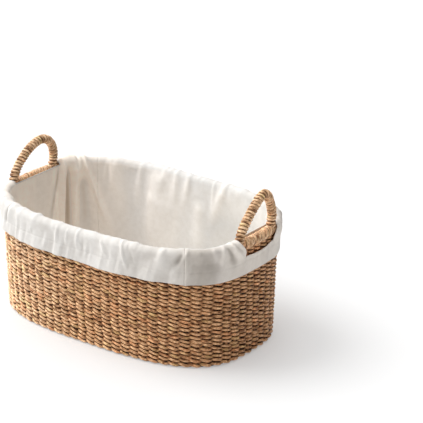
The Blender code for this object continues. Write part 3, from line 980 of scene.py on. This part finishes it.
def painted_light_along(tree, stops):
    """Painted light and shade: a colour that changes along the basket, from its right-hand end at 0 to its
    left at 1.
    """
    where = add_node(tree, "ShaderNodeSeparateXYZ", {0: place_on(tree)})
    return ramp(tree, map_range(tree, where.outputs["X"], 0.30, -0.30), stops)


def mix(tree, kind, factor, first, second):
    """Two colours blended, by the kind of blend that Blender names."""
    node = add_node(tree, "ShaderNodeMix", data_type="RGBA", blend_type=kind)
    connect(tree, node, {0: factor, 6: first, 7: second})
    return node.outputs[2]


def multiply(tree, *colours):
    """Colours multiplied together."""
    product = colours[0]
    for colour in colours[1:]:
        product = mix(tree, "MULTIPLY", 1.0, product, colour)
    return product


def bump(tree, height, strength, distance, under=None):
    """Fine relief from a height, on top of another relief if there is one."""
    inputs = {"Height": height, "Strength": strength, "Distance": distance}
    if under:
        inputs["Normal"] = under
    return add_node(tree, "ShaderNodeBump", inputs).outputs[0]


def seagrass_material(name, colours, along):
    """Dry twisted seagrass: fibres that run slantwise along each strand, in lengths of several colours.

    colours are its dark, middle and light colours, and along is a ramp of painted light and shade that
    changes along the basket.
    """
    material, tree, shader = node_material(name)
    dark, middle, light = colours
    uv = add_node(tree, "ShaderNodeUVMap", uv_map="strand").outputs["UV"]
    # one length of grass differs from the next
    length = noise(tree, stretched(tree, uv, (46.0, 0.9, 1.0)), 1.0, 2.0, 0.7)
    colour = ramp(tree, length, ((0.34, dark), (0.43, middle), (0.52, light), (0.58, middle), (0.67, light)))
    # some lengths are redder, some greener
    cast = noise(tree, stretched(tree, uv, (23.0, 0.3, 1.0), (7.0, 3.0, 0.0)), 1.0, 1.0)
    colour = multiply(tree, colour, ramp(tree, cast, GRASS_CAST))
    fibre = noise(tree, stretched(tree, uv, (110.0, 13.0, 1.0), slant=0.30), 1.0, 4.0, 0.7)
    # painted shade: grass that lies deep in the weave is painted darker, and grass that stands proud is
    # painted lighter as a highlight
    depth = ramp(tree, point_value(tree, "proud"), GRASS_PAINTED_SHADE_AND_HIGHLIGHT)
    # the fibres' ramp paints shade in the gaps between fibres and a highlight on their crowns, over their
    # random tone, and the ramp along the basket paints the grass lighter and cooler towards its left-hand
    # end
    colour = multiply(tree, colour, ramp(tree, fibre, FIBRE_TONE_AND_PAINTED_LIGHT), depth, painted_light_along(tree, along))
    connect(tree, shader, {
        "Base Color": colour,
        "Normal": bump(tree, fibre, 0.8, 1.6 * MM),
        "Roughness": map_range(tree, fibre, 0.0, 1.0, 0.60, 0.38),
        "Specular IOR Level": 0.4,
    })
    return material


def cotton_material():
    """Plain-weave unbleached cotton with faint slubs."""
    material, tree, shader = node_material("cotton")
    place = place_on(tree)
    slub = noise(tree, place, 90.0, 5.0, 0.6)
    tint = ramp(tree, slub, ((0.35, COTTON_SLUB), (0.6, COTTON)))
    # painted shade: hollows are painted darker than folds that stand out, and inside the liner the painted
    # shade is brown, as the grass tinges it; folds that stand out are painted lighter
    proud = map_range(tree, point_value(tree, "proud"), -CLOTH_DEPTH_RANGE, CLOTH_DEPTH_RANGE)
    inside = point_value(tree, "inside")
    depth = mix(tree, "MIX", inside, ramp(tree, proud, CUFF_PAINTED_SHADE_AND_HIGHLIGHT), ramp(tree, proud, LINING_PAINTED_SHADE_AND_HIGHLIGHT))
    # painted light and shade along the basket: the lining painted warmer and lighter at its left-hand end,
    # and the cuff painted darker round its right-hand corners and lighter at its right-hand tip
    painted_end_light = mix(tree, "MIX", inside, painted_light_along(tree, CUFF_PAINTED_LIGHT), painted_light_along(tree, LINING_PAINTED_LIGHT))
    thread_inputs = {"Vector": place, "Scale": 420.0, "Distortion": 1.5, "Detail": 1.0}
    threads = add_node(tree, "ShaderNodeTexWave", thread_inputs, wave_type="BANDS", bands_direction="Z")
    connect(tree, shader, {
        "Base Color": multiply(tree, tint, depth, painted_end_light),
        "Normal": bump(tree, slub, 0.25, 0.8 * MM, bump(tree, threads.outputs["Fac"], 0.12, 0.4 * MM)),
        "Roughness": 0.92,
        "Specular IOR Level": 0.2,
        "Sheen Weight": 0.12,
    })
    return material


def wire_material():
    """Plain dark iron wire with a little rust."""
    material, tree, shader = node_material("dark_wire")
    rust = noise(tree, place_on(tree), 160.0, 4.0)
    connect(tree, shader, {"Base Color": ramp(tree, rust, WIRE_RUST), "Metallic": 0.6, "Roughness": 0.55})
    return material


# ---------------------------------------------------------------- stage

def set_stage():
    """A white studio: the floor, the sky and one soft light."""
    bpy.context.scene.view_settings.view_transform = "Standard"
    white, tree, shader = node_material("studio_floor")
    connect(tree, shader, {"Base Color": FLOOR_GREY, "Roughness": 0.9, "Emission Color": (*WHITE, 1.0),
                           "Emission Strength": FLOOR_GLOW})
    bpy.ops.mesh.primitive_plane_add(size=FLOOR_SIZE, location=(0.0, 0.0, FLOOR_Z))
    floor = bpy.context.object
    floor.name = "studio_floor"
    floor.data.materials.append(white)

    # a broad soft light up on the left, like a window, that fades round to the right
    world = bpy.data.worlds.new("studio")
    bpy.context.scene.world = world
    world.use_nodes = True
    tree = world.node_tree
    place = add_node(tree, "ShaderNodeTexCoord").outputs["Generated"]
    facing = add_node(tree, "ShaderNodeVectorMath", {0: place, 1: SKY_TOWARDS}, operation="DOT_PRODUCT")
    level = map_range(tree, facing.outputs["Value"], 0.0, 1.0, SKY_DIM, SKY_BRIGHT)
    connect(tree, tree.nodes["Background"], {"Color": (*WHITE, 1.0), "Strength": level})
    add_sun("key", KEY_AZIMUTH, KEY_ELEVATION, KEY_SPREAD, KEY_STRENGTH)


def direction(azimuth, elevation):
    """The direction to a place round the object, in degrees: azimuth 0 is -Y, and 90 is +X."""
    az, el = math.radians(azimuth), math.radians(elevation)
    return Vector((math.sin(az) * math.cos(el), -math.cos(az) * math.cos(el), math.sin(el)))


def add_sun(name, azimuth, elevation, spread, strength):
    """A soft light from far away."""
    light = bpy.data.lights.new(name, "SUN")
    light.angle = math.radians(spread)
    light.energy = strength
    lamp = bpy.data.objects.new(name, light)
    lamp.rotation_euler = (-direction(azimuth, elevation)).to_track_quat("-Z", "Y").to_euler()
    bpy.context.scene.collection.objects.link(lamp)


def set_camera():
    """The camera, looking down at the object from its right-hand end."""
    back = direction(CAMERA_AZIMUTH, CAMERA_ELEVATION)
    right = (-back).cross(Vector((0.0, 0.0, 1.0))).normalized()
    up = right.cross(-back)
    c, s = math.cos(math.radians(CAMERA_ROLL)), math.sin(math.radians(CAMERA_ROLL))
    turn = Matrix((c * right + s * up, c * up - s * right, back)).transposed().to_4x4()
    data = bpy.data.cameras.new("camera")
    data.lens = CAMERA_LENS
    data.sensor_width = CAMERA_SENSOR
    camera = bpy.data.objects.new("camera", data)
    camera.matrix_world = Matrix.Translation(CAMERA_PLACE) @ turn
    bpy.context.scene.collection.objects.link(camera)
    bpy.context.scene.camera = camera


# ---------------------------------------------------------------- assembly

def finish_piece(piece, body, material, slot, *nodes):
    """Gives a piece its material and its body, and hides the CAD nodes that it replaces. slot is not used.
    """
    piece.data.materials.clear()
    piece.data.materials.append(material)
    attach(piece, body)
    if nodes:
        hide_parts(*nodes)


def main():
    """Builds the stage, the basket and its liner."""
    set_stage()
    set_camera()
    seagrass = seagrass_material("seagrass", WEAVE_COLOURS, WEAVE_PAINTED_LIGHT)
    cord = seagrass_material("seagrass_cord", CORD_COLOURS, CORD_PAINTED_LIGHT)
    wire = wire_material()
    cotton = cotton_material()
    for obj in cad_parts.values():
        if not obj.material_slots:
            obj.data.materials.append(wire)
        for slot in obj.material_slots:
            slot.material = wire
    for piece in wall_weave():
        finish_piece(piece, "basket", seagrass, "seagrass", "wall_weave")
    base = base_weave()
    finish_piece(base, "basket", seagrass, "seagrass", "base_weave")
    finish_piece(wall_stakes(), "basket", seagrass, "seagrass")
    rim = rim_binding()
    finish_piece(rim, "basket", cord, "seagrass_cord", "rim_binding")
    for name in HANDLES:
        finish_piece(handle_wrap(name), "basket", cord, "seagrass_cord", "handle_wrap_" + name)
    for side, (first, last, flat_width) in PANELS.items():
        panel = cloth_panel("cloth_" + side, first, last)
        finish_piece(panel, "liner", cotton, "cotton", "lining_" + side, "cuff_" + side)
    bottom = liner_bottom()
    finish_piece(bottom, "liner", cotton, "cotton", "liner_base")
    finish_piece(elastic_band(), "liner", cotton, "elastic", "hem_elastic")
    for name in SLOTS:
        finish_piece(slot_hem(name), "liner", cotton, "cotton")


main()
